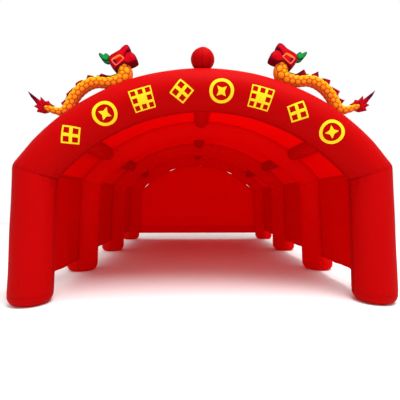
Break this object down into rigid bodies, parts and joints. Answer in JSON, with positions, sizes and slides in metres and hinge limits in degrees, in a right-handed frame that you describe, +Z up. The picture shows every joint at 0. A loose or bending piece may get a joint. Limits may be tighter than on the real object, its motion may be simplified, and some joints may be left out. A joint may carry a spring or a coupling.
{
  "type": "inflatable arch tent",
  "caption": "Red inflatable arch tent: air-filled arches joined by beams, with cloth roof, side and back walls, and dragons facing a ball on the front crown.",
  "frame": {"origin": "on the ground, under the middle of the tent's box", "axes": "+Z up, -Y out of the open front arch, +X to the right of someone who faces the front from outside"},
  "size_m": [6.496, 9.56, 4.326],
  "materials": {
    "red_cloth": "coated cloth, soft sheen",
    "roof_cloth": "thin coated cloth, lets light through",
    "dark_band": "coated cloth, soft sheen",
    "gold_scales": "printed scales on coated cloth",
    "dragon_red": "coated cloth, soft sheen",
    "horn_green": "coated cloth, soft sheen",
    "eye_orange": "sewn cloth patch"
  },
  "bodies": {
    "root": {"arch_1": "red_cloth", "arch_2": "red_cloth", "arch_3": "red_cloth", "arch_4": "red_cloth", "ridge_beam_1": "red_cloth", "ridge_beam_2": "red_cloth", "ridge_beam_3": "red_cloth", "haunch_beam_left_1": "red_cloth", "haunch_beam_left_2": "red_cloth", "haunch_beam_left_3": "red_cloth", "haunch_beam_right_1": "red_cloth", "haunch_beam_right_2": "red_cloth", "haunch_beam_right_3": "red_cloth", "roof_upper_left_1": "roof_cloth", "roof_upper_left_2": "roof_cloth", "roof_upper_left_3": "roof_cloth", "roof_upper_right_1": "roof_cloth", "roof_upper_right_2": "roof_cloth", "roof_upper_right_3": "roof_cloth", "roof_lower_left_1": "roof_cloth", "roof_lower_left_2": "roof_cloth", "roof_lower_left_3": "roof_cloth", "roof_lower_right_1": "roof_cloth", "roof_lower_right_2": "roof_cloth", "roof_lower_right_3": "roof_cloth", "side_wall_left_1": "roof_cloth", "side_wall_left_2": "roof_cloth", "side_wall_left_3": "roof_cloth", "side_wall_right_1": "roof_cloth", "side_wall_right_2": "roof_cloth", "side_wall_right_3": "roof_cloth", "back_wall": "red_cloth", "back_wall_band": "dark_band", "crown_ball": "red_cloth", "dragon_left_body": "gold_scales", "dragon_left_head": "dragon_red", "dragon_left_horn_front": "horn_green", "dragon_left_horn_back": "horn_green", "dragon_left_fin": "dragon_red", "dragon_left_tail_tuft": "dragon_red", "dragon_left_eye_front": "eye_orange", "dragon_left_eye_back": "eye_orange", "dragon_right_body": "gold_scales", "dragon_right_head": "dragon_red", "dragon_right_horn_front": "horn_green", "dragon_right_horn_back": "horn_green", "dragon_right_fin": "dragon_red", "dragon_right_tail_tuft": "dragon_red", "dragon_right_eye_front": "eye_orange", "dragon_right_eye_back": "eye_orange"}
  },
  "joints": []
}
